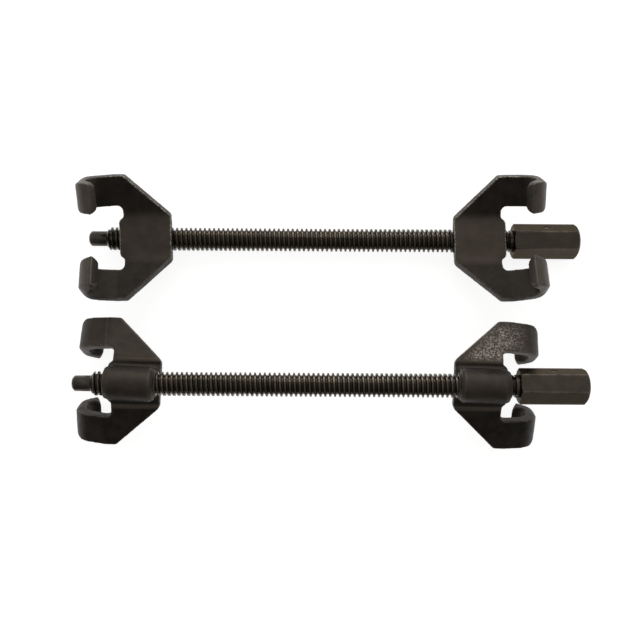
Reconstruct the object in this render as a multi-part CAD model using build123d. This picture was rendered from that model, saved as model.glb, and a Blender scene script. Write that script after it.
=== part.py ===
from build123d import *
from math import atan2, cos, degrees, radians, sin, tan
import os

# A set of two coil spring compressors, in millimetres. Each unit is a threaded spindle with a drive hex
# pinned on one end, a head jaw that the spindle turns in, and a tip jaw that the thread draws along.
# A unit is built in its own frame: X along the screw from the plain tip to the hex, Z towards the claws,
# and the screw's axis at Y = Z = 0. The set stands on Z = 0 with its origin under its middle.

# Screw thread: 5/8 inch with 8 threads per inch, trapezoidal, 29 degrees between the flanks.
thread_pitch = 25.4 / 8
thread_major_r = 25.4 * 5 / 8 / 2
thread_depth = thread_pitch / 2 + 0.13
thread_root_r = thread_major_r - thread_depth
flank_run = thread_depth * tan(radians(29 / 2))
crest_width = 0.37 * thread_pitch

# Spindle, from its plain tip to the end of the shank inside the hex.
unit_length = 335.5
tip_pin_r = 5.2
tip_pin_length = 12.0
tip_chamfer = 1.6
tip_cone_length = 2.0
relief_length = 1.2
collar_r = 7.5
collar_length = 2.8
shank_r = 6.35
shank_length = 38.0

# Drive hex: a long sleeve with a blind bore, held on the shank by a cross pin.
hex_across_flats = 21.0
hex_length = 45.0
hex_end_face_r = 8.0
hex_end_chamfer = 3.0
hex_neck_face_r = 11.0
hex_neck_chamfer = 1.0
hex_bore_spare = 1.0
pin_r = 2.0
pin_recess = 0.3

# Clearances on the radius.
head_bore_gap = 0.10
thread_bore_gap = 0.08
sleeve_gap = 0.02
pin_gap = 0.02

# Jaw: a bent plate with two sloping arms, a round boss for the screw on its back, and a claw on each arm.
# Its X runs outwards from the straight edge that faces the other jaw.
plate_thickness = 7.0
hub_front_z = 13.0
bend_half_width = 14.0
arm_slope = 20.0
jaw_width = 86.0
diagonal_length = 29.5
diagonal_corner_r = 2.5
arm_width = 20.7
hub_length = 35.3
hub_end_half_width = 12.4
hub_end_corner_r = 3.5
hub_edge_corner_r = 6.0
notch_depth = 3.1
notch_corner_r = 3.4
boss_r = 11.6
boss_taper_start = 2.6
boss_taper_length = 2.2
boss_taper_r = 10.0
boss_end_length = 3.6
boss_end_r = 10.0
valley_r = 1.6
valley_y = 12.9
valley_depth = 1.0
jaw_skew = 2.2

# Claw: the arm's end bent round towards the front, seen square to the arm.
claw_crease_x = 37.0
claw_crease_angle = 12.0
claw_reach = 59.0
throat_r = 7.5
claw_bend = 150.0
claw_tip_length = 4.5
claw_tip_corner_r = 5.0
claw_outer_side_r = 5.5
claw_inner_side_r = 4.0
claw_side_spare = 0.3

# Where things stand: jaws along each screw, and the two units beside each other.
tip_jaw_x = {"a": 57.9, "b": 55.8}
head_jaw_x = {"a": unit_length - 86.8, "b": unit_length - 86.0}
unit_spacing = jaw_width + 11.3
unit_shift = 2.3
hex_turn = {"a": 0.0, "b": -14.0}

os.makedirs("parts", exist_ok=True)


def turned(points):
    """The solid made by turning a closed outline of (x, radius) points about the X axis."""
    return revolve(make_face(Polyline(*points, close=True)), axis=Axis.X)


def on_circle(centre, radius, angle):
    """The point at an angle, in degrees, on a circle in the XY plane."""
    return (centre[0] + radius * cos(radians(angle)), centre[1] + radius * sin(radians(angle)))


# Spindle


def thread_rings(start, end):
    """Outline points of the thread between two places: one trapezoid per pitch, closed on itself."""
    ring_count = int((end - start) / thread_pitch)
    points = []
    for ring in range(ring_count):
        foot = start + ring * thread_pitch
        points.append((foot, thread_root_r))
        points.append((foot + flank_run, thread_major_r))
        points.append((foot + flank_run + crest_width, thread_major_r))
        points.append((foot + 2 * flank_run + crest_width, thread_root_r))
    return points


def spindle():
    """The screw: plain tip, thread, relief, collar against the hex, and the shank inside it."""
    thread_start = tip_pin_length + tip_cone_length
    hex_start = unit_length - hex_length
    collar_start = hex_start - collar_length
    shank_end = hex_start + shank_length
    outline = [(0, 0), (0, tip_pin_r - tip_chamfer), (tip_chamfer, tip_pin_r), (tip_pin_length, tip_pin_r)]
    outline += thread_rings(thread_start, collar_start - relief_length)
    outline += [(collar_start, thread_root_r), (collar_start, collar_r), (hex_start, collar_r)]
    outline += [(hex_start, shank_r), (shank_end, shank_r), (shank_end, 0)]
    return turned(outline) - cross_pin(pin_r + pin_gap, 2 * thread_major_r)


# Drive hex and its pin


def cross_pin(radius, length):
    """A rod through the middle of the hex, square to the pair of flats that face up and sideways."""
    middle = Location((unit_length - hex_length / 2, 0, 0), (-60, 0, 0))
    return middle * Cylinder(radius, length)


def drive_hex():
    """The long hexagon: chamfered ends, a blind bore for the shank and a hole for the cross pin."""
    corner_r = hex_across_flats / 2 / cos(radians(30))
    start = unit_length - hex_length
    prism = extrude(Plane.YZ.offset(start) * RegularPolygon(corner_r, 6, rotation=0), hex_length)
    ends = turned(
        [
            (start, 0),
            (start, hex_neck_face_r),
            (start + hex_neck_chamfer, corner_r + 0.1),
            (unit_length - hex_end_chamfer, corner_r + 0.1),
            (unit_length, hex_end_face_r),
            (unit_length, 0),
        ]
    )
    bore_length = shank_length + hex_bore_spare
    bore = Location((start + bore_length / 2, 0, 0), (0, 90, 0)) * Cylinder(shank_r + sleeve_gap, bore_length)
    return (prism & ends) - bore - cross_pin(pin_r + pin_gap, 2 * hex_across_flats)


def hex_pin():
    """The cross pin, its ends just below the flats."""
    return cross_pin(pin_r, hex_across_flats - 2 * pin_recess)


# Jaw


def claw_profile():
    """The arm's lengthwise section: flat plate, slight crease, then the claw bent right round."""
    outer_r = throat_r + plate_thickness
    centre_x = claw_reach - outer_r
    rise = radians(claw_crease_angle)
    slope_length = (centre_x - claw_crease_x + outer_r * sin(rise)) / cos(rise)
    centre = (centre_x, -plate_thickness + slope_length * sin(rise) + outer_r * cos(rise))
    bend_start = claw_crease_angle - 90
    bend_end = claw_bend - 90
    bend_middle = (bend_start + bend_end) / 2
    tip_step = on_circle((0, 0), claw_tip_length, claw_bend)
    inner_end = on_circle(centre, throat_r, bend_end)
    outer_end = on_circle(centre, outer_r, bend_end)
    tip_inner = (inner_end[0] + tip_step[0], inner_end[1] + tip_step[1])
    tip_outer = (outer_end[0] + tip_step[0], outer_end[1] + tip_step[1])
    flat = Polyline(
        on_circle(centre, outer_r, bend_start),
        (claw_crease_x, -plate_thickness),
        (0, -plate_thickness),
        (0, 0),
        (claw_crease_x - plate_thickness * tan(rise / 2), 0),
        on_circle(centre, throat_r, bend_start),
    )
    inside = ThreePointArc(
        on_circle(centre, throat_r, bend_start), on_circle(centre, throat_r, bend_middle), inner_end
    )
    tip = Polyline(inner_end, tip_inner, tip_outer, outer_end)
    outside = ThreePointArc(
        outer_end, on_circle(centre, outer_r, bend_middle), on_circle(centre, outer_r, bend_start)
    )
    return make_face(flat + inside + tip + outside), tip_inner


def arm():
    """One arm with its claw, lying flat with its front on the XY plane and its bend line on the X axis."""
    fold = plate_thickness * tan(radians(arm_slope / 2))
    back_edge_shift = plate_thickness * sin(radians(arm_slope))
    outer_y = (jaw_width / 2 - bend_half_width - back_edge_shift) / cos(radians(arm_slope))
    inner_y = outer_y - arm_width
    notch_x = hub_length - notch_depth
    claw_end = claw_reach + claw_side_spare
    profile, tip_inner = claw_profile()
    length = Pos(0, -fold, 0) * extrude(Plane.XZ * profile, -(outer_y + fold))
    outline = Polyline(
        (0, -fold),
        (0, 0),
        (diagonal_length, outer_y),
        (claw_end, outer_y),
        (claw_end, inner_y),
        (notch_x, inner_y),
        (notch_x, -fold),
        close=True,
    )
    blank = make_face(outline)
    blank = fillet(blank.vertices().sort_by_distance((diagonal_length, outer_y))[0], diagonal_corner_r)
    blank = fillet(blank.vertices().sort_by_distance((notch_x, inner_y))[0], notch_corner_r)
    blank = fillet(blank.vertices().sort_by_distance((claw_end, outer_y))[0], claw_outer_side_r)
    blank = fillet(blank.vertices().sort_by_distance((claw_end, inner_y))[0], claw_inner_side_r)
    thick = 2 * claw_reach
    solid = length & extrude(blank, thick / 2, both=True)
    for edge_y, inward in ((outer_y, -1), (inner_y, 1)):
        solid -= tip_corner(tip_inner, edge_y, inward)
    return solid


def tip_corner(tip_inner, edge_y, inward):
    """What rounding one corner of the claw's tip takes away; inward is the arm's side of that edge."""
    r = claw_tip_corner_r
    centre = (tip_inner[0] + r, edge_y + inward * r)
    square = Pos(centre[0] - r, centre[1] - inward * r) * Rectangle(2 * r, 2 * r)
    waste = square - Pos(*centre) * Circle(r)
    return Pos(0, 0, tip_inner[1] - plate_thickness) * extrude(waste, claw_reach)


def hub():
    """The flat middle of the plate and the boss behind it."""
    fold = plate_thickness * tan(radians(arm_slope / 2))
    back_z = hub_front_z - plate_thickness
    back_half = bend_half_width + fold
    section = Plane.YZ * make_face(
        Polyline(
            (-bend_half_width, hub_front_z),
            (bend_half_width, hub_front_z),
            (back_half, back_z),
            (-back_half, back_z),
            close=True,
        )
    )
    notch_x = hub_length - notch_depth
    outline = make_face(
        Polyline(
            (0, -back_half),
            (notch_x, -back_half),
            (notch_x, -bend_half_width),
            (hub_length, -hub_end_half_width),
            (hub_length, hub_end_half_width),
            (notch_x, bend_half_width),
            (notch_x, back_half),
            (0, back_half),
            close=True,
        )
    )
    ends = outline.vertices().sort_by(Axis.X)[-2:]
    outline = fillet(ends, hub_end_corner_r)
    prism = extrude(outline, 3 * boss_r, both=True)
    boss = turned(
        [
            (boss_taper_start, 0),
            (boss_taper_start, boss_taper_r),
            (boss_taper_start + boss_taper_length, boss_r),
            (hub_length - boss_end_length, boss_r),
            (hub_length, boss_end_r),
            (hub_length, 0),
        ]
    )
    below_front = Pos(hub_length / 2, 0, -boss_r) * Box(
        2 * hub_length, 3 * boss_r, 2 * (hub_front_z - plate_thickness / 2 + boss_r)
    )
    plate = extrude(section, hub_length)
    solid = (plate + (boss & below_front)) & prism
    for side in (-1, 1):
        solid -= valley(side)
    return solid


def valley(side):
    """The shallow groove on the plate's back between the boss and an arm."""
    centre_z = hub_front_z - plate_thickness + valley_depth - valley_r
    return Location((hub_length / 2, side * valley_y, centre_z), (0, 90, 0)) * Cylinder(valley_r, 2 * hub_length)


def hub_edge_corner():
    """What rounding the corner between the straight edge and an arm's diagonal takes away."""
    back_edge_shift = plate_thickness * sin(radians(arm_slope))
    corner_y = bend_half_width + back_edge_shift
    lean = atan2(jaw_width / 2 - corner_y, diagonal_length)
    tangent_length = hub_edge_corner_r * tan((radians(90) - lean) / 2)
    spare = 0.5
    centre = (hub_edge_corner_r, corner_y - tangent_length)
    on_diagonal = on_circle(centre, hub_edge_corner_r + spare, 90 + degrees(lean))
    region = Polyline(centre, (-spare, centre[1]), (-spare, corner_y + spare), on_diagonal, close=True)
    waste = make_face(region) - Pos(*centre) * Circle(hub_edge_corner_r)
    return extrude(waste, 2 * hub_front_z, both=True)


def jaw(bore_r):
    """A whole jaw with its screw hole; the body sits slightly askew on the hole, to follow a coil's lead."""
    arm_frame = Plane(
        origin=(0, bend_half_width, hub_front_z),
        x_dir=(1, 0, 0),
        z_dir=(0, -sin(radians(arm_slope)), cos(radians(arm_slope))),
    )
    left_arm = arm_frame.location * arm()
    body = hub() + left_arm + mirror(left_arm, about=Plane.XZ)
    left_corner = hub_edge_corner()
    body = body - left_corner - mirror(left_corner, about=Plane.XZ)
    middle = hub_length / 2
    body = Pos(middle, 0, 0) * Rot(0, 0, jaw_skew) * Pos(-middle, 0, 0) * body
    bore = Location((middle, 0, 0), (0, 90, 0)) * Cylinder(bore_r, 2 * hub_length)
    return body - bore


# The set


def unit(name):
    """All the pieces of one unit, in its own frame, by node name."""
    turn = Rot(hex_turn[name], 0, 0)
    tip_jaw = Pos(tip_jaw_x[name], 0, 0) * Rot(0, 0, 180) * jaw(thread_major_r + thread_bore_gap)
    return {
        "head_jaw_" + name: Pos(head_jaw_x[name], 0, 0) * jaw(thread_major_r + head_bore_gap),
        "tip_jaw_" + name: tip_jaw,
        "spindle_" + name: turn * spindle(),
        "drive_hex_" + name: turn * drive_hex(),
        "hex_pin_" + name: turn * hex_pin(),
    }


unit_a = unit("a")
unit_b = unit("b")
claw_height = unit_b["head_jaw_b"].bounding_box().max.Z

# Unit a lies on its bosses with the claws up; unit b is turned over and stands on its four claws.
place_a = Location((unit_shift, unit_spacing, boss_r))
place_b = Location((0, 0, claw_height), (180, 0, 0))
pieces = {node: place_a * piece for node, piece in unit_a.items()}
pieces.update({node: place_b * piece for node, piece in unit_b.items()})

boxes = [piece.bounding_box() for piece in pieces.values()]
middle_x = (min(box.min.X for box in boxes) + max(box.max.X for box in boxes)) / 2
middle_y = (min(box.min.Y for box in boxes) + max(box.max.Y for box in boxes)) / 2
floor_z = min(box.min.Z for box in boxes)
to_origin = Pos(-middle_x, -middle_y, -floor_z)

for node, piece in pieces.items():
    export_step(to_origin * piece, "parts/" + node + ".step")
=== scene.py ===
import bpy
from math import cos, pi, radians
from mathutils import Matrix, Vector


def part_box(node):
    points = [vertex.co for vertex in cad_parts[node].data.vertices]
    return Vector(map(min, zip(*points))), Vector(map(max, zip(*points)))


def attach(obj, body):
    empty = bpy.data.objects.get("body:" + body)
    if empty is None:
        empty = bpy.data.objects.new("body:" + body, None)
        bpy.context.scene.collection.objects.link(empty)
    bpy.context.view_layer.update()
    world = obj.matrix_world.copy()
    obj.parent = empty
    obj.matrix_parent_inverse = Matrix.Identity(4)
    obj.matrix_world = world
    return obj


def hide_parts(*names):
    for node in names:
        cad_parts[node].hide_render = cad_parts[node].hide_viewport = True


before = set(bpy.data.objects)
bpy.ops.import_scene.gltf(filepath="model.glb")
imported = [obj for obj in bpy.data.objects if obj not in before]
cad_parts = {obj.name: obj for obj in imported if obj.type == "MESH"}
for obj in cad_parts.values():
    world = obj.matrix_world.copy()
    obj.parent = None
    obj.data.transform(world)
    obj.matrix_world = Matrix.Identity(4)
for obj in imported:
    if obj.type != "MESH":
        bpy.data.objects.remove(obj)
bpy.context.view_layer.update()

# ---------------------------------------------------------------------------------------------------------
# Spindles
# Each is a steel bar with a right-hand trapezoidal thread along it. Its far end is turned down to a plain
# pin, and its driven end has a relief, a collar and a shank that goes up inside the drive hex.
# ---------------------------------------------------------------------------------------------------------

mm = 0.001
unit_length = 335.5 * mm
thread_pitch = 3.175 * mm
thread_crest_r = 7.9375 * mm
thread_root_r = thread_crest_r - thread_pitch / 2 - 0.13 * mm
plain_pin_r = 5.2 * mm
plain_pin_length = 12 * mm
collar_r = 7.5 * mm
collar_length = 2.8 * mm
relief_length = 1.2 * mm
shank_r = 6.35 * mm
shank_length = 38 * mm
hex_length = 45 * mm
neck_x = unit_length - hex_length
thread_end_x = neck_x - collar_length - relief_length


def only(piece):
    """Selects this piece and nothing else."""
    bpy.ops.object.select_all(action="DESELECT")
    piece.select_set(True)
    bpy.context.view_layer.objects.active = piece


def finish_with(piece, kind, **settings):
    """Puts one modifier on a piece and applies it."""
    only(piece)
    bpy.ops.object.modifier_add(type=kind)
    modifier = piece.modifiers[-1]
    for setting, value in settings.items():
        setattr(modifier, setting, value)
    bpy.ops.object.modifier_apply(modifier=modifier.name)


def combine(piece, other, operation):
    """Cuts, joins or trims a piece with another, which is used up."""
    finish_with(piece, "BOOLEAN", object=other, operation=operation, solver="EXACT")
    bpy.data.objects.remove(other)


def turn_bar(name, steps, sides=64):
    """A bar on the X axis turned to these steps, each a place along the axis and the radius there."""
    start, start_r = steps[0]
    bpy.ops.object.select_all(action="DESELECT")
    bpy.ops.mesh.primitive_circle_add(
        vertices=sides,
        radius=start_r,
        fill_type="NGON",
        location=(start, 0, 0),
        rotation=(0, pi / 2, 0),
    )
    bar = bpy.context.object
    bar.name = name
    bpy.ops.object.transform_apply(location=True, rotation=True, scale=True)
    bpy.ops.object.mode_set(mode="EDIT")
    bpy.ops.mesh.select_all(action="SELECT")
    for (here, here_r), (there, there_r) in zip(steps, steps[1:]):
        bpy.ops.mesh.extrude_region_move(TRANSFORM_OT_translate={"value": (there - here, 0, 0)})
        swell = there_r / here_r
        bpy.ops.transform.resize(value=(1, swell, swell), center_override=(there, 0, 0))
    bpy.ops.mesh.select_all(action="SELECT")
    bpy.ops.mesh.normals_make_consistent(inside=False)
    bpy.ops.object.mode_set(mode="OBJECT")
    return bar


def thread_bar(name, start, end):
    """A length of thread: one pitch's outline drawn point by point, wound round X and cut off square."""
    flank = thread_pitch * 0.135
    crest = thread_pitch * 0.37
    round_off = 0.12 * mm
    drop = thread_crest_r - thread_root_r
    strokes = [
        (flank * 0.1, drop * 0.06),
        (flank * 0.85, drop * 0.86),
        (round_off, drop * 0.08),
        (crest - 2 * round_off + flank * 0.1, 0),
        (round_off, -drop * 0.08),
        (flank * 0.85, -drop * 0.86),
        (flank * 0.1, -drop * 0.06),
    ]
    drawn = sum(along for along, out in strokes)
    strokes.append((thread_pitch - drawn, 0))
    bpy.ops.object.select_all(action="DESELECT")
    bpy.ops.mesh.primitive_plane_add(size=mm, location=(start - thread_pitch, 0, thread_root_r))
    bar = bpy.context.object
    bar.name = name
    bpy.ops.object.transform_apply(location=True, rotation=True, scale=True)
    bpy.ops.object.mode_set(mode="EDIT")
    bpy.ops.mesh.select_mode(type="VERT")
    bpy.ops.mesh.select_all(action="SELECT")
    bpy.ops.mesh.merge(type="CENTER")
    for along, out in strokes:
        bpy.ops.mesh.extrude_vertices_move(TRANSFORM_OT_translate={"value": (along, 0, out)})
    bpy.ops.object.mode_set(mode="OBJECT")
    finish_with(
        bar,
        "SCREW",
        axis="X",
        angle=2 * pi,
        screw_offset=thread_pitch,
        iterations=int((end - start) / thread_pitch) + 3,
        steps=36,
        render_steps=36,
    )
    bpy.ops.object.mode_set(mode="EDIT")
    bpy.ops.mesh.select_all(action="SELECT")
    bpy.ops.mesh.remove_doubles(threshold=0.002 * mm)
    for cut_x, side in ((start, -1), (end, 1)):
        bpy.ops.mesh.select_all(action="SELECT")
        bpy.ops.mesh.bisect(
            plane_co=(cut_x, 0, 0), plane_no=(side, 0, 0), use_fill=True, clear_outer=True, threshold=1e-6
        )
    bpy.ops.mesh.select_all(action="SELECT")
    bpy.ops.mesh.normals_make_consistent(inside=False)
    bpy.ops.object.mode_set(mode="OBJECT")
    return bar


def make_spindle():
    """The whole screw in its unit's own frame: X from the plain pin to the hex, axis at Y = Z = 0."""
    lead_in = 2.4 * mm
    soft_edge = 0.35 * mm
    shank_chamfer = 0.6 * mm
    spindle = thread_bar("spindle", plain_pin_length, thread_end_x)
    blank_r = thread_crest_r + 0.02 * mm
    blank = turn_bar(
        "blank",
        [
            (plain_pin_length - mm, plain_pin_r - mm),
            (plain_pin_length + lead_in, blank_r),
            (thread_end_x - 0.8 * mm, blank_r),
            (thread_end_x + 1.2 * mm, blank_r - 2 * mm),
        ],
    )
    combine(spindle, blank, "INTERSECT")
    core_r = thread_root_r - 0.05 * mm
    core = turn_bar(
        "core",
        [
            (0, plain_pin_r - 1.6 * mm),
            (0.15 * mm, plain_pin_r - 1.35 * mm),
            (1.4 * mm, plain_pin_r - 0.12 * mm),
            (1.75 * mm, plain_pin_r),
            (plain_pin_length + 0.2 * mm, plain_pin_r),
            (plain_pin_length + lead_in, core_r),
            (neck_x - collar_length - 0.3 * mm, core_r),
            (neck_x - collar_length, core_r + 0.3 * mm),
            (neck_x - collar_length, collar_r - soft_edge),
            (neck_x - collar_length + soft_edge, collar_r),
            (neck_x - soft_edge, collar_r),
            (neck_x, collar_r - soft_edge),
            (neck_x, shank_r),
            (neck_x + shank_length - shank_chamfer, shank_r),
            (neck_x + shank_length, shank_r - shank_chamfer),
        ],
    )
    combine(spindle, core, "UNION")
    only(spindle)
    bpy.ops.object.shade_smooth_by_angle(angle=radians(28))
    return spindle


def screw_place(unit):
    """Where a unit's own frame lies in the set: its plain end on the screw's axis."""
    low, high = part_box("spindle_" + unit)
    return Vector((low.x, (low.y + high.y) / 2, (low.z + high.z) / 2))


def put_in_unit(pattern, node, unit, turn=0.0):
    """A copy of a piece with its own mesh, laid where its unit lies; unit b is upside down."""
    only(pattern)
    bpy.ops.object.duplicate()
    piece = bpy.context.object
    piece.name = node + "_shown"
    flip = {"a": 0.0, "b": pi}[unit]
    piece.rotation_euler = (flip + radians(turn), 0, 0)
    piece.location = screw_place(unit)
    bpy.ops.object.transform_apply(location=True, rotation=True, scale=True)
    return piece


hex_turn = {"a": 0.0, "b": -14.0}
spindle_pattern = make_spindle()
cross_pin_tilt = radians(-60)
cross_pin_r = 2.0 * mm
cross_pin_length = 20.4 * mm
running_gap = 0.02 * mm


def cross_hole(radius, length):
    """A rod through the middle of the hex, square to one pair of its flats."""
    bpy.ops.object.select_all(action="DESELECT")
    bpy.ops.mesh.primitive_cylinder_add(
        vertices=40,
        radius=radius,
        depth=length,
        location=(unit_length - hex_length / 2, 0, 0),
        rotation=(cross_pin_tilt, 0, 0),
    )
    bpy.ops.object.transform_apply(location=True, rotation=True, scale=True)
    return bpy.context.object


combine(spindle_pattern, cross_hole(cross_pin_r + running_gap, 30 * mm), "DIFFERENCE")


def new_group(name, inputs, outputs):
    """An empty shader node group with these float or colour sockets, and its two end nodes."""
    group = bpy.data.node_groups.new(name, "ShaderNodeTree")
    for label, value in inputs.items():
        kind = "NodeSocketColor" if isinstance(value, tuple) else "NodeSocketFloat"
        socket = group.interface.new_socket(name=label, in_out="INPUT", socket_type=kind)
        socket.default_value = value
    for label, kind in outputs.items():
        group.interface.new_socket(name=label, in_out="OUTPUT", socket_type=kind)
    return group, group.nodes.new("NodeGroupInput"), group.nodes.new("NodeGroupOutput")


def add_node(tree, kind, links=None, **settings):
    """A node with its settings made and its inputs linked or given a value."""
    node = tree.nodes.new(kind)
    for setting, value in settings.items():
        setattr(node, setting, value)
    for socket, source in (links or {}).items():
        if isinstance(source, bpy.types.NodeSocket):
            tree.links.new(source, node.inputs[socket])
        else:
            node.inputs[socket].default_value = source
    return node


def fade(tree, value, start, end):
    """0 below start and 1 above end, smooth between."""
    links = {"Value": value, "From Min": start, "From Max": end}
    return add_node(tree, "ShaderNodeMapRange", links, interpolation_type="SMOOTHSTEP").outputs["Result"]


def work_out(tree, operation, *values):
    """One sum on two or three numbers."""
    return add_node(tree, "ShaderNodeMath", dict(enumerate(values)), operation=operation).outputs[0]


def noise(tree, place, scale, detail=4.0, roughness=0.55):
    """A cloudy value from 0 to 1 with features about 1 / scale metres across."""
    made = {"Vector": place, "Scale": scale, "Detail": detail, "Roughness": roughness}
    return add_node(tree, "ShaderNodeTexNoise", made).outputs["Fac"]


# Black oxide is mottled at two sizes: broad oily clouds and a fine grain.
oxide, oxide_in, oxide_out = new_group(
    "oxide mottle",
    {"Cloud size": 90.0, "Grain size": 900.0},
    {"Clouds": "NodeSocketFloat", "Grain": "NodeSocketFloat"},
)
place = add_node(oxide, "ShaderNodeTexCoord").outputs["Object"]
clouds = noise(oxide, place, oxide_in.outputs["Cloud size"], 5.0, 0.6)
grain = noise(oxide, place, oxide_in.outputs["Grain size"], 3.0, 0.7)
oxide.links.new(fade(oxide, clouds, 0.32, 0.68), oxide_out.inputs["Clouds"])
oxide.links.new(fade(oxide, grain, 0.3, 0.7), oxide_out.inputs["Grain"])


def dress(piece, material):
    """Gives a piece this material and no other."""
    piece.data.materials.clear()
    piece.data.materials.append(material)


def start_material(name):
    """A node material with only its shader and output."""
    material = bpy.data.materials.new(name)
    material.use_nodes = True
    tree = material.node_tree
    return material, tree, tree.nodes["Principled BSDF"]


def mix(tree, factor, first, second):
    """One colour laid over another."""
    node = tree.nodes.new("ShaderNodeMix")
    node.data_type = "RGBA"
    for socket, source in ((0, factor), (6, first), (7, second)):
        if isinstance(source, bpy.types.NodeSocket):
            tree.links.new(source, node.inputs[socket])
        else:
            node.inputs[socket].default_value = source
    return node.outputs[2]


def oxide_on(tree, cloud_size, grain_size):
    """The mottle group placed in a material: its clouds and its grain."""
    node = add_node(tree, "ShaderNodeGroup", node_tree=oxide)
    node.inputs["Cloud size"].default_value = cloud_size
    node.inputs["Grain size"].default_value = grain_size
    return node.outputs["Clouds"], node.outputs["Grain"]


# Turned parts wear on what stands furthest out, so a mask rises with the distance from the screw's axis.
wear, wear_in, wear_out = new_group(
    "wear by radius",
    {"Screw Y": 0.0, "Screw Z": 0.0, "Clean up to": 0.005, "Worn from": 0.006},
    {"Wear": "NodeSocketFloat"},
)
spot = add_node(wear, "ShaderNodeSeparateXYZ", {0: add_node(wear, "ShaderNodeTexCoord").outputs["Object"]})
aside = work_out(wear, "SUBTRACT", spot.outputs["Y"], wear_in.outputs["Screw Y"])
above = work_out(wear, "SUBTRACT", spot.outputs["Z"], wear_in.outputs["Screw Z"])
across = add_node(wear, "ShaderNodeCombineXYZ", {"Y": aside, "Z": above}).outputs["Vector"]
radius = add_node(wear, "ShaderNodeVectorMath", {0: across}, operation="LENGTH").outputs["Value"]
worn = fade(wear, radius, wear_in.outputs["Clean up to"], wear_in.outputs["Worn from"])
wear.links.new(worn, wear_out.inputs["Wear"])


def wear_on(tree, unit, clean_r, worn_r):
    """The wear mask placed in a material: 0 inside one radius from the screw's axis, 1 outside another."""
    centre = screw_place(unit)
    node = add_node(tree, "ShaderNodeGroup", node_tree=wear)
    node.inputs["Screw Y"].default_value = centre.y
    node.inputs["Screw Z"].default_value = centre.z
    node.inputs["Clean up to"].default_value = clean_r
    node.inputs["Worn from"].default_value = worn_r
    return node.outputs["Wear"]


def finish_metal(tree, shader, colour, roughness, metallic, height, bump_strength, bump_depth):
    """Joins up a metal's colour, sheen and fine relief."""
    tree.links.new(colour, shader.inputs["Base Color"])
    tree.links.new(roughness, shader.inputs["Roughness"])
    shader.inputs["Metallic"].default_value = metallic
    relief = {"Height": height, "Strength": bump_strength, "Distance": bump_depth}
    bump = add_node(tree, "ShaderNodeBump", relief)
    tree.links.new(bump.outputs["Normal"], shader.inputs["Normal"])


def screw_steel(unit):
    """Oily black oxide in the thread's roots, rubbed brown on its crests; the plain pin is cleaner. The
    crests are painted brighter on unit b than on unit a, a painted highlight.
    """
    material, tree, shader = start_material("screw steel " + unit)
    clouds, grain = oxide_on(tree, 120.0, 1500.0)
    crest = wear_on(tree, unit, thread_root_r + 0.7 * mm, thread_crest_r - 0.05 * mm)
    off_pin = wear_on(tree, unit, plain_pin_r + 0.2 * mm, plain_pin_r + 0.5 * mm)
    rubbed = work_out(tree, "MULTIPLY", crest, work_out(tree, "MULTIPLY_ADD", clouds, 0.5, 0.6))
    pin_colour = mix(tree, clouds, (0.030, 0.0255, 0.021, 1), (0.060, 0.052, 0.044, 1))
    root_colour = mix(tree, clouds, (0.010, 0.0076, 0.0052, 1), (0.022, 0.0170, 0.0120, 1))
    # Rubbed crest colour, painted brighter on unit b than on unit a to set how strongly each unit's glints
    # show.
    crest_wear_and_glint = {"a": (0.085, 0.070, 0.050, 1), "b": (0.125, 0.104, 0.076, 1)}[unit]
    crest_colour = mix(tree, grain, (0.054, 0.044, 0.030, 1), crest_wear_and_glint)
    colour = mix(tree, rubbed, mix(tree, off_pin, pin_colour, root_colour), crest_colour)
    roughness = work_out(tree, "MULTIPLY_ADD", grain, 0.10, 0.12)
    finish_metal(tree, shader, colour, roughness, 0.8, grain, 0.25, 0.05 * mm)
    return material


for unit in "ab":
    spindle = put_in_unit(spindle_pattern, "spindle_" + unit, unit, hex_turn[unit])
    dress(spindle, screw_steel(unit))
    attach(spindle, "screw_" + unit)
    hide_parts("spindle_" + unit)
bpy.data.objects.remove(spindle_pattern)

# ---------------------------------------------------------------------------------------------------------
# Drive hexes
# A long hexagon cut from 21 mm bar, chamfered at both ends and bored for the spindle's shank. It is what a
# socket or an impact wrench turns, so its corners are rubbed bright.
# ---------------------------------------------------------------------------------------------------------

hex_across_flats = 21 * mm
hex_corner_r = hex_across_flats / 2 / cos(pi / 6)


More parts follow.
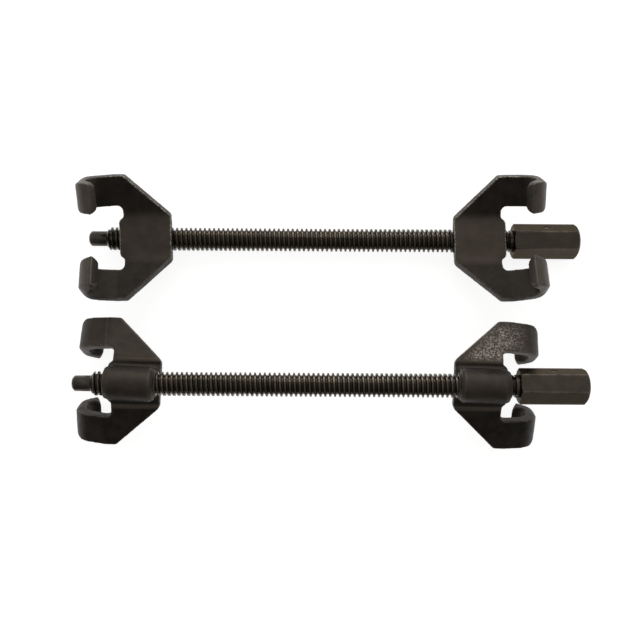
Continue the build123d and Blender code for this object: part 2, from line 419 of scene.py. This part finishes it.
def make_drive_hex():
    """The hexagon in its unit's own frame, with its bore and cross hole."""
    bpy.ops.object.select_all(action="DESELECT")
    bpy.ops.mesh.primitive_cylinder_add(
        vertices=6,
        radius=hex_corner_r,
        depth=hex_length,
        location=(neck_x + hex_length / 2, 0, 0),
        rotation=(0, pi / 2, 0),
    )
    drive_hex = bpy.context.object
    bpy.ops.object.transform_apply(location=True, rotation=True, scale=True)
    bpy.ops.object.mode_set(mode="EDIT")
    bpy.ops.mesh.select_mode(type="EDGE")
    bpy.ops.mesh.select_all(action="DESELECT")
    bpy.ops.object.mode_set(mode="OBJECT")
    corners = drive_hex.data.vertices
    for edge in drive_hex.data.edges:
        run = corners[edge.vertices[0]].co - corners[edge.vertices[1]].co
        edge.select = abs(run.x) > hex_length / 2
    bpy.ops.object.mode_set(mode="EDIT")
    bpy.ops.mesh.bevel(offset=0.3 * mm, segments=3)
    bpy.ops.object.mode_set(mode="OBJECT")
    over = hex_corner_r + 0.1 * mm
    ends = turn_bar(
        "hex ends",
        [
            (neck_x, 10.8 * mm),
            (neck_x + 0.3 * mm, 11.3 * mm),
            (neck_x + mm, over),
            (unit_length - 3 * mm, over),
            (unit_length - 1.6 * mm, 10.75 * mm),
            (unit_length - 0.5 * mm, 9.1 * mm),
            (unit_length, 7.8 * mm),
        ],
        96,
    )
    combine(drive_hex, ends, "INTERSECT")
    bore = turn_bar(
        "hex bore",
        [
            (neck_x - mm, shank_r + running_gap),
            (neck_x + shank_length + mm, shank_r + running_gap),
            (neck_x + shank_length + 3 * mm, 0.5 * mm),
        ],
    )
    combine(drive_hex, bore, "DIFFERENCE")
    combine(drive_hex, cross_hole(cross_pin_r + running_gap, 40 * mm), "DIFFERENCE")
    only(drive_hex)
    bpy.ops.object.shade_smooth_by_angle(angle=radians(20))
    return drive_hex


def hex_steel(unit):
    """Black oxide over sawn and turned steel, with the corners rubbed by sockets."""
    material, tree, shader = start_material("hex steel " + unit)
    clouds, grain = oxide_on(tree, 150.0, 1300.0)
    corner = wear_on(tree, unit, hex_corner_r - 0.7 * mm, hex_corner_r)
    rubbed = work_out(tree, "MULTIPLY", corner, fade(tree, clouds, -0.5, 1.2))
    flat_colour = mix(tree, clouds, (0.052, 0.0445, 0.036, 1), (0.064, 0.0555, 0.045, 1))
    colour = mix(tree, rubbed, flat_colour, (0.12, 0.105, 0.088, 1))
    roughness = work_out(tree, "MULTIPLY_ADD", clouds, 0.12, 0.25)
    finish_metal(tree, shader, colour, roughness, 1.0, grain, 0.3, 0.05 * mm)
    shader.inputs["Specular Tint"].default_value = (0.55, 0.52, 0.48, 1)
    return material


hex_pattern = make_drive_hex()
for unit in "ab":
    drive_hex = put_in_unit(hex_pattern, "drive_hex_" + unit, unit, hex_turn[unit])
    dress(drive_hex, hex_steel(unit))
    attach(drive_hex, "screw_" + unit)
    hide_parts("drive_hex_" + unit)
bpy.data.objects.remove(hex_pattern)

# ---------------------------------------------------------------------------------------------------------
# Cross pins
# A short steel pin driven through the hex and the shank, ground nearly flush. Its domed ends show as small
# bright spots in the middle of two flats.
# ---------------------------------------------------------------------------------------------------------

pin_pattern = cross_hole(cross_pin_r, cross_pin_length)
pin_dome = 0.35 * mm
finish_with(
    pin_pattern, "BEVEL", width=pin_dome, segments=3, limit_method="ANGLE", angle_limit=radians(60)
)
only(pin_pattern)
bpy.ops.object.shade_smooth_by_angle(angle=radians(40))

pin_steel, tree, shader = start_material("pin steel")
clouds, grain = oxide_on(tree, 400.0, 2500.0)
colour = mix(tree, clouds, (0.055, 0.047, 0.039, 1), (0.095, 0.083, 0.070, 1))
roughness = work_out(tree, "MULTIPLY_ADD", grain, 0.1, 0.36)
finish_metal(tree, shader, colour, roughness, 0.9, grain, 0.3, 0.05 * mm)

for unit in "ab":
    pin = put_in_unit(pin_pattern, "hex_pin_" + unit, unit, hex_turn[unit])
    dress(pin, pin_steel)
    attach(pin, "screw_" + unit)
    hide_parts("hex_pin_" + unit)
bpy.data.objects.remove(pin_pattern)

# ---------------------------------------------------------------------------------------------------------
# Jaws
# Each is a drop forging: a bent plate with a boss for the screw and two hooked claws. Forging leaves its
# edges rounded and its flats slightly uneven; the screw hole is bored afterwards and stays crisp.
# ---------------------------------------------------------------------------------------------------------

hub_length = 35.3 * mm
bore_gap = {"head": 0.10 * mm, "tip": 0.08 * mm}
forging_ripple = bpy.data.textures.new("forging ripple", "CLOUDS")
forging_ripple.noise_scale = 5 * mm
forging_ripple.noise_depth = 2


def hub_span(kind, unit):
    """Where the hub starts and ends along the screw; its straight edge faces the other jaw."""
    low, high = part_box(f"{kind}_jaw_{unit}")
    if kind == "tip":
        return high.x - hub_length, high.x
    return low.x, low.x + hub_length


def on_screw(rod, unit):
    """Moves a rod made on the X axis to the screw's own axis."""
    centre = screw_place(unit)
    only(rod)
    rod.location = (0, centre.y, centre.z)
    bpy.ops.object.transform_apply(location=True, rotation=True, scale=True)
    return rod


def ease_folds(jaw, unit):
    """Turns the sharp folds on the claws' side into wide bends, and softens the valleys behind them."""
    centre = screw_place(unit)
    front = {"a": 1, "b": -1}[unit]
    folds = []
    valleys = []
    for point in jaw.data.vertices:
        aside = abs(point.co.y - centre.y)
        lift = (point.co.z - centre.z) * front
        facing = point.normal.z * front
        folds.append(facing > 0.9 and 5 * mm < aside < 24 * mm and 11 * mm < lift < 19 * mm)
        valleys.append(facing < -0.35 and 9 * mm < aside < 19.5 * mm and lift > 0)
    for area, repeat in ((folds, 140), (valleys, 30)):
        only(jaw)
        bpy.ops.object.mode_set(mode="EDIT")
        bpy.ops.mesh.select_mode(type="VERT")
        bpy.ops.mesh.select_all(action="DESELECT")
        bpy.ops.object.mode_set(mode="OBJECT")
        jaw.data.vertices.foreach_set("select", area)
        bpy.ops.object.mode_set(mode="EDIT")
        bpy.ops.mesh.vertices_smooth(factor=0.5, repeat=repeat)
        bpy.ops.object.mode_set(mode="OBJECT")


def forge_jaw(kind, unit):
    """The jaw's solid with its hole plugged, softened all over like a forging, then bored."""
    node = f"{kind}_jaw_{unit}"
    jaw = bpy.data.objects.new(node + "_shown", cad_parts[node].data.copy())
    bpy.context.scene.collection.objects.link(jaw)
    only(jaw)
    bpy.ops.object.mode_set(mode="EDIT")
    bpy.ops.mesh.select_all(action="SELECT")
    bpy.ops.mesh.remove_doubles(threshold=0.001 * mm)
    bpy.ops.object.mode_set(mode="OBJECT")
    start, end = hub_span(kind, unit)
    bore_r = thread_crest_r + bore_gap[kind]
    inset = 1.6 * mm
    plug_r = bore_r + 0.4 * mm
    plug = turn_bar("plug", [(start + inset, plug_r), (end - inset, plug_r)])
    combine(jaw, on_screw(plug, unit), "UNION")
    finish_with(jaw, "REMESH", mode="VOXEL", voxel_size=0.62 * mm, use_smooth_shade=True)
    finish_with(jaw, "SMOOTH", factor=0.5, iterations=7)
    finish_with(
        jaw, "DISPLACE", texture=forging_ripple, texture_coords="LOCAL", strength=0.22 * mm, mid_level=1.0
    )
    ease_folds(jaw, unit)
    flare = 0.8 * mm
    past = 2 * mm
    bit = turn_bar(
        "boring bit",
        [
            (start - past, bore_r + flare + past),
            (start + flare, bore_r),
            (end - flare, bore_r),
            (end + past, bore_r + flare + past),
        ],
    )
    combine(jaw, on_screw(bit, unit), "DIFFERENCE")
    only(jaw)
    bpy.ops.object.shade_smooth_by_angle(angle=radians(40))
    return jaw


def ramp(value, start, end):
    """0 below start and 1 above end, straight between."""
    return min(1.0, max(0.0, (value - start) / (end - start)))


def paint_wear_and_light(jaw, kind, unit):
    """Marks where a jaw is rubbed, scuffed or worn to bright specks at its edges, point by point, and
    where painted highlights and painted shade go.

    A point is placed by how many millimetres it is out from the straight edge, to the side of the screw
    and lifted towards the claws. Facing is 1 where the surface looks towards the claws and -1 behind.
    """
    centre = screw_place(unit)
    start, end = hub_span(kind, unit)
    edge_x, outward = {"head": (start, 1), "tip": (end, -1)}[kind]
    front = {"a": 1, "b": -1}[unit]
    hub_rub = {"head": 1.0, "tip": 0.65}[kind]
    # Claw tips are rubbed bright; unit b's claws face the table, so their wear is turned down as painted
    # shade.
    claw_wear_and_shade = {"a": 1.0, "b": 0.25}[unit]
    # Strengths of the painted highlights on the back of unit b: first the boss, then the upper arms.
    boss_highlight, arm_highlight = {"a": (0.0, 0.0), "b": (0.42, 0.50)}[unit]
    # Bright specks on worn edges, kept to the side towards the far light: partly real chips, partly
    # painted highlight.
    chip_glint_strength = {"a": 1.0, "b": 0.25}[unit]
    scuffed_arm = 1.0 if (kind, unit) == ("head", "b") else 0.0
    crease_out = 37.6
    rub_and_highlight = []
    scuff = []
    chips_and_glints = []
    for point in jaw.data.vertices:
        out = (point.co.x - edge_x) * outward / mm
        side = (point.co.y - centre.y) / mm
        lift = (point.co.z - centre.z) * front / mm
        facing = point.normal.z * front
        hub_front = hub_rub * ramp(facing, 0.6, 0.9) * ramp(abs(side), 18, 13) * ramp(out, 40, 34)
        hub_front *= ramp(lift, 8, 11)
        # Rubbed claw tips, less on unit b as painted shade.
        claw = claw_wear_and_shade * ramp(out, 44, 50) * ramp(lift, 20, 30)
        behind = ramp(facing, -0.5, -0.8)
        # Painted highlight on the back of the boss: brightest on its crown, lighter on the side towards
        # the far light.
        crown = ramp(facing, -0.6, -0.95) * ramp(abs(side), 12, 9)
        back = boss_highlight * (0.3 * ramp(facing, 0.3, -0.3) * ramp(side, -15, -6) + 0.8 * crown)
        # Painted highlight on the backs of the upper arms, which tilt towards the far light.
        back = max(back, arm_highlight * behind * ramp(side, 13, 16))
        # Painted highlight: a bright line along the bend on each side of the boss.
        ridge_highlight = behind * ramp(abs(side), 13.8, 14.8) * ramp(abs(side), 17.5, 16) * ramp(out, 33, 31)
        # Painted highlight: a thin bright line where the upper arms bend into the claws.
        crease_highlight = behind * ramp(side, 14, 17) * ramp(abs(out - crease_out), 1.1, 0.4)
        # This mask holds real wear on the hub front and claws together with the painted highlights on the
        # back, the ridges and the crease.
        rub_and_highlight.append(max(hub_front, claw, back, 1.6 * ridge_highlight, crease_highlight))
        patch = behind * ramp(side, 15, 19) * ramp(side, 42, 36) * ramp(out, 52, 36)
        scuff.append(scuffed_arm * patch * ramp(out - side, -12, -4))
        chips_and_glints.append(chip_glint_strength * ramp(side, -16, -6) * ramp(out, 44, 38))
    for name, values in (("rub_and_highlight", rub_and_highlight), ("scuff", scuff), ("chips_and_glints", chips_and_glints)):
        layer = jaw.data.attributes.new(name, "FLOAT", "POINT")
        layer.data.foreach_set("value", values)


jaw_steel, tree, shader = start_material("jaw steel")
clouds, grain = oxide_on(tree, 110.0, 1100.0)
point = add_node(tree, "ShaderNodeNewGeometry").outputs["Pointiness"]
rub_and_highlight = add_node(tree, "ShaderNodeAttribute", attribute_name="rub_and_highlight").outputs["Fac"]
scuff = add_node(tree, "ShaderNodeAttribute", attribute_name="scuff").outputs["Fac"]
chips_and_glints = add_node(tree, "ShaderNodeAttribute", attribute_name="chips_and_glints").outputs["Fac"]
edge = work_out(tree, "MULTIPLY", fade(tree, point, 0.507, 0.545), fade(tree, clouds, -0.6, 0.7))
steel_place = add_node(tree, "ShaderNodeTexCoord").outputs["Object"]
pits = fade(tree, noise(tree, steel_place, 850.0, 4.0, 0.8), 0.47, 0.57)
patches = fade(tree, noise(tree, steel_place, 130.0, 2.0, 0.5), 0.15, 0.60)
specks = fade(tree, noise(tree, steel_place, 700.0, 3.0, 0.7), 0.46, 0.60)
scuffed = work_out(tree, "MULTIPLY", work_out(tree, "MULTIPLY", scuff, patches), pits)
scale_colour = mix(tree, clouds, (0.0115, 0.0088, 0.0068, 1), (0.023, 0.0182, 0.0145, 1))
# This bright colour is rubbed steel where the mask marks wear, and a painted highlight where it marks the
# back, the ridges and the crease.
rubbed_and_highlight_colour = mix(tree, clouds, (0.056, 0.044, 0.035, 1), (0.072, 0.058, 0.047, 1))
colour = mix(tree, rub_and_highlight, scale_colour, rubbed_and_highlight_colour)
colour = mix(tree, work_out(tree, "MULTIPLY", scuff, 0.6), colour, (0.056, 0.047, 0.040, 1))
colour = mix(tree, scuffed, colour, (0.36, 0.32, 0.28, 1))
colour = mix(tree, edge, colour, (0.11, 0.094, 0.077, 1))
# Bright specks on the sharpest edges: worn chips, with a painted highlight where the mask keeps them to
# the lit side.
bright_edge = work_out(tree, "MULTIPLY", fade(tree, point, 0.514, 0.54), specks)
bright_edge = work_out(tree, "MULTIPLY", bright_edge, chips_and_glints)
colour = mix(tree, bright_edge, colour, (0.42, 0.37, 0.31, 1))
roughness = work_out(tree, "MULTIPLY_ADD", clouds, 0.14, 0.40)
relief = work_out(tree, "MULTIPLY_ADD", scuffed, 3.0, grain)
finish_metal(tree, shader, colour, roughness, 0.75, relief, 0.4, 0.08 * mm)

for unit in "ab":
    for kind in ("head", "tip"):
        jaw = forge_jaw(kind, unit)
        paint_wear_and_light(jaw, kind, unit)
        dress(jaw, jaw_steel)
        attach(jaw, f"{kind}_jaw_{unit}")
        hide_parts(f"{kind}_jaw_{unit}")

# ---------------------------------------------------------------------------------------------------------
# Table, light and camera
# The set lies on a plain white table whose lit part ends just in front of it. A light tent gets brighter
# towards the far side, and two soft boxes there put a line of light along the threads and hexes.
# ---------------------------------------------------------------------------------------------------------

bpy.ops.object.select_all(action="DESELECT")
bpy.ops.mesh.primitive_plane_add(size=30, location=(0, 0, 0))
table = bpy.context.object
table.name = "table"
table_white, tree, shader = start_material("table white")
table_place = add_node(tree, "ShaderNodeTexCoord").outputs["Object"]
from_front = add_node(tree, "ShaderNodeSeparateXYZ", {0: table_place}).outputs["Y"]
glow = add_node(tree, "ShaderNodeMapRange", {"Value": from_front, "From Min": -0.6, "From Max": -0.26})
glow.inputs["To Min"].default_value = 0.1
glow.inputs["To Max"].default_value = 0.84
tree.links.new(glow.outputs["Result"], shader.inputs["Emission Strength"])
shader.inputs["Base Color"].default_value = (0.4, 0.4, 0.4, 1)
shader.inputs["Roughness"].default_value = 0.9
shader.inputs["Emission Color"].default_value = (1, 1, 1, 1)
table.data.materials.append(table_white)

world = bpy.data.worlds.new("light tent")
bpy.context.scene.world = world
world.use_nodes = True
tent = world.node_tree
sky = tent.nodes["Background"]
sky.inputs["Color"].default_value = (1, 0.985, 0.95, 1)
direction = add_node(tent, "ShaderNodeTexCoord").outputs["Generated"]
far_to_near = add_node(tent, "ShaderNodeSeparateXYZ", {0: direction}).outputs["Y"]
lit = add_node(tent, "ShaderNodeMapRange", {"Value": far_to_near, "From Min": -0.75, "From Max": 0.7})
lit.inputs["To Min"].default_value = 0.25
lit.inputs["To Max"].default_value = 0.87
tent.links.new(lit.outputs["Result"], sky.inputs["Strength"])


def soft_light(name, place, size, watts):
    """A square soft box aimed at the middle of the set."""
    bpy.ops.object.light_add(type="AREA", location=place)
    light = bpy.context.object
    light.name = name
    light.data.shape = "SQUARE"
    light.data.size = size
    light.data.energy = watts
    light.rotation_euler = (-Vector(place)).to_track_quat("-Z", "Y").to_euler()
    return light


soft_light("far light", (0.0, 1.3, 0.5), 0.7, 5.5)
soft_light("thread light", (0.0, 0.75, 0.95), 0.18, 0.6)

camera_right_of_tip = 0.16081
camera_back = -0.00637
camera_height = 0.6456
camera_twist = radians(0.382)
film_width = 36
focal_widths = 1.438125
camera_data = bpy.data.cameras.new("camera")
camera = bpy.data.objects.new("camera", camera_data)
bpy.context.scene.collection.objects.link(camera)
camera.location = (screw_place("b").x + camera_right_of_tip, camera_back, camera_height)
camera.rotation_euler = (0, 0, camera_twist)
camera_data.sensor_width = film_width
camera_data.lens = film_width * focal_widths
camera_data.clip_start = 0.01
bpy.context.scene.camera = camera
bpy.context.scene.view_settings.view_transform = "Standard"
